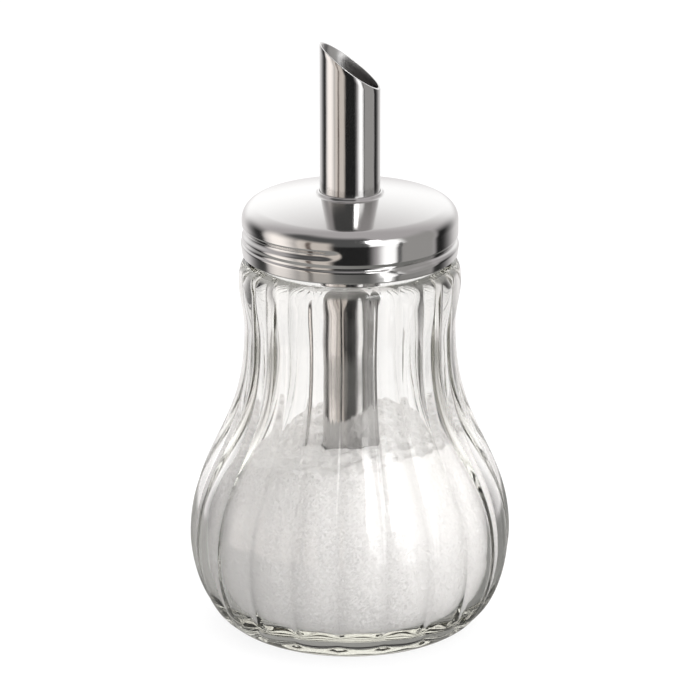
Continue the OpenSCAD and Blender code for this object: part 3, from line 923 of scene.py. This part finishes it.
def make_floor():
    """A wide pale floor that keeps a soft shadow of the object.

    The camera sees it white. Glass and metal see painted shade on the ground near the object, an emitted grey in place
    of its shadow, and past that the white ground or the studio's cards.
    """
    half = 3.0
    height = -0.05 * MM
    vertices = np.array([(-half, -half, height), (half, -half, height), (half, half, height), (-half, half, height)])
    floor = mesh_object("floor", vertices, [(0, 1, 2, 3)])
    material = bpy.data.materials.new("pale_floor")
    material.use_nodes = True
    tree = material.node_tree
    tree.nodes.clear()
    path = tree.nodes.new("ShaderNodeLightPath")
    place = tree.nodes.new("ShaderNodeTexCoord").outputs["Object"]
    parts = node(tree, "ShaderNodeSeparateXYZ", {0: place})
    radius = node(tree, "ShaderNodeVectorMath", {0: place}, operation="LENGTH").outputs["Value"]
    glint = maths(tree, "GREATER_THAN", path.outputs["Glossy Depth"], 0.5)
    far = mix_colours(tree, glint, smooth_step(tree, radius, *FLOOR_REACH), smooth_step(tree, radius, *GLINT_REACH))
    # Painted shade seen in reflections: lighter to the left of the object, darker to the right
    tone = mix_colours(tree, smooth_step(tree, parts.outputs["X"], -0.08, 0.08), *FLOOR_PAINTED_SHADES)
    # Painted shade near the object: an emitted grey in place of its shadow, for straight and reflected rays
    painted_near_shade = node(tree, "ShaderNodeEmission", {"Color": mix_colours(tree, glint, FOOT_PAINTED_SHADE, tone)})
    white = node(tree, "ShaderNodeEmission", {"Color": (1, 1, 1, 1), "Strength": 1.05})
    clear = tree.nodes.new("ShaderNodeBsdfTransparent")
    matt = node(tree, "ShaderNodeBsdfDiffuse", {"Color": (0.6, 0.6, 0.6, 1)})
    dull = node(tree, "ShaderNodeBsdfDiffuse", {"Color": (0.55, 0.55, 0.55, 1)})
    matt_ray = maths(tree, "GREATER_THAN", path.outputs["Diffuse Depth"], 0.5)
    beyond = node(tree, "ShaderNodeMixShader", {0: glint, 1: white.outputs[0], 2: clear.outputs[0]})
    ground = node(tree, "ShaderNodeMixShader", {0: far, 1: painted_near_shade.outputs[0], 2: beyond.outputs[0]})
    shaded = node(tree, "ShaderNodeMixShader", {0: 0.85, 1: matt.outputs[0], 2: white.outputs[0]})
    seen = node(
        tree, "ShaderNodeMixShader", {0: path.outputs["Is Camera Ray"], 1: ground.outputs[0], 2: shaded.outputs[0]}
    )
    mixed = node(tree, "ShaderNodeMixShader", {0: matt_ray, 1: seen.outputs[0], 2: dull.outputs[0]})
    output = tree.nodes.new("ShaderNodeOutputMaterial")
    tree.links.new(mixed.outputs[0], output.inputs["Surface"])
    floor.data.materials.append(material)


def make_camera(studio):
    """The photograph's camera: a long lens that looks down on the jar from the front."""
    lens_pixels = studio.pixels_per_mm * studio.distance / MM
    sensor = 36
    frame_pixels = 700
    camera_data = bpy.data.cameras.new("camera")
    camera_data.sensor_fit = "HORIZONTAL"
    camera_data.sensor_width = sensor
    camera_data.lens = lens_pixels * sensor / frame_pixels
    camera_data.clip_end = 20
    camera = bpy.data.objects.new("camera", camera_data)
    bpy.context.scene.collection.objects.link(camera)
    level = studio.distance * math.cos(studio.elevation)
    camera.location = (0, -level, studio.aim_z + studio.distance * math.sin(studio.elevation))
    camera.rotation_euler = (math.pi / 2 - studio.elevation, 0, 0)
    bpy.context.scene.camera = camera


def make_lamp():
    """One large soft lamp above and right of the camera, for the shadow on the floor."""
    lamp_data = bpy.data.lights.new("key", "AREA")
    lamp_data.shape = "DISK"
    lamp_data.size = 0.6
    lamp_data.energy = 3.0
    lamp = bpy.data.objects.new("key", lamp_data)
    bpy.context.scene.collection.objects.link(lamp)
    lamp.location = (0.55, -0.6, 0.9)
    towards = -lamp.location.copy()
    lamp.rotation_euler = towards.to_track_quat("-Z", "Y").to_euler()
    lamp.visible_glossy = False


class DISPENSER_OT_stage(Operator):
    """Builds the camera, the floor and the studio's light"""

    bl_idname = "dispenser.stage"
    bl_label = "Stage"

    def execute(self, context):
        make_camera(context.scene.dispenser_studio)
        make_floor()
        make_lamp()
        studio_world()
        context.scene.view_settings.view_transform = "Standard"
        # Light turns back many times inside the thick glass of the foot
        paths = context.scene.cycles
        paths.max_bounces = 24
        paths.transmission_bounces = 24
        paths.glossy_bounces = 12
        return {"FINISHED"}


class DISPENSER_OT_jar(Operator):
    """Builds the glass jar"""

    bl_idname = "dispenser.jar"
    bl_label = "Glass jar"

    def execute(self, context):
        scene = context.scene
        glass = glass_material(scene.dispenser_jar.glass)
        dress(make_jar(scene.dispenser_jar, scene.dispenser_cap), glass, "jar_body", "jar")
        return {"FINISHED"}


class DISPENSER_OT_sugar(Operator):
    """Builds the sugar in the jar"""

    bl_idname = "dispenser.sugar"
    bl_label = "Sugar"

    def execute(self, context):
        scene = context.scene
        heap = make_sugar(scene.dispenser_jar, scene.dispenser_cap, scene.dispenser_tube, scene.dispenser_sugar)
        dress(heap, sugar_material(scene.dispenser_sugar.white), "jar_body", "sugar_fill")
        return {"FINISHED"}


class DISPENSER_OT_cap(Operator):
    """Builds the screw cap"""

    bl_idname = "dispenser.cap"
    bl_label = "Screw cap"

    def execute(self, context):
        scene = context.scene
        steel = steel_material("cap_steel", scene.dispenser_cap.steel, 0.07, 0.25, 1.0, True)
        shell = make_cap(scene.dispenser_jar, scene.dispenser_cap, scene.dispenser_tube)
        dress(shell, steel, "cap_body", "screw_cap")
        return {"FINISHED"}


class DISPENSER_OT_tube(Operator):
    """Builds the pouring tube"""

    bl_idname = "dispenser.tube"
    bl_label = "Pouring tube"

    def execute(self, context):
        scene = context.scene
        tube = scene.dispenser_tube
        wall_middle = (tube.tube_d - tube.wall) / 2
        steel = steel_material("tube_steel", scene.dispenser_cap.steel, 0.07, 1.0, 2.4, False, wall_middle)
        dress(make_tube(tube), steel, "cap_body", "pour_tube")
        return {"FINISHED"}


class DISPENSER_OT_small_pieces(Operator):
    """Finishes the seal, the collar and the flap with its seat and pin, whose frame shapes stay"""

    bl_idname = "dispenser.small_pieces"
    bl_label = "Seal, collar and flap"

    def execute(self, context):
        steel = context.scene.dispenser_cap.steel
        plain = steel_material("plain_steel", steel, 0.22, 0.5, 0.5, True)
        bright = steel_material("flap_steel", steel, 0.14, 0.5, 0.8, False)
        seal = plastic_material("seal_plastic", (0.86, 0.86, 0.83))
        finishes = {
            "cap_seal": seal,
            "tube_collar": plain,
            "flap_seat": plain,
            "flap_pin": plain,
            "flap": bright,
        }
        for name, material in finishes.items():
            mesh = frame["nodes"][name].data
            mesh.materials.clear()
            mesh.materials.append(material)
        return {"FINISHED"}


class DISPENSER_PT_panel(Panel):
    """Lists the dispenser's operators"""

    bl_label = "Sugar dispenser"
    bl_idname = "DISPENSER_PT_panel"
    bl_space_type = "VIEW_3D"
    bl_region_type = "UI"
    bl_category = "Dispenser"

    def draw(self, context):
        for operator in OPERATORS:
            self.layout.operator(operator.bl_idname)


SETTINGS = {
    "dispenser_jar": JarSizes,
    "dispenser_cap": CapSizes,
    "dispenser_tube": TubeSizes,
    "dispenser_sugar": SugarSizes,
    "dispenser_studio": StudioSettings,
}
OPERATORS = (
    DISPENSER_OT_stage,
    DISPENSER_OT_jar,
    DISPENSER_OT_sugar,
    DISPENSER_OT_cap,
    DISPENSER_OT_tube,
    DISPENSER_OT_small_pieces,
)


def register():
    """Adds the settings, operators and panel to Blender."""
    for group in SETTINGS.values():
        bpy.utils.register_class(group)
    for name, group in SETTINGS.items():
        setattr(bpy.types.Scene, name, PointerProperty(type=group))
    for operator in OPERATORS:
        bpy.utils.register_class(operator)
    bpy.utils.register_class(DISPENSER_PT_panel)


def unregister():
    """Takes them out again."""
    bpy.utils.unregister_class(DISPENSER_PT_panel)
    for operator in reversed(OPERATORS):
        bpy.utils.unregister_class(operator)
    for name, group in SETTINGS.items():
        delattr(bpy.types.Scene, name)
        bpy.utils.unregister_class(group)


def main():
    """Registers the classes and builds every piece."""
    register()
    bpy.ops.dispenser.stage()
    bpy.ops.dispenser.jar()
    bpy.ops.dispenser.sugar()
    bpy.ops.dispenser.cap()
    bpy.ops.dispenser.tube()
    bpy.ops.dispenser.small_pieces()


if __name__ == "__main__":
    main()
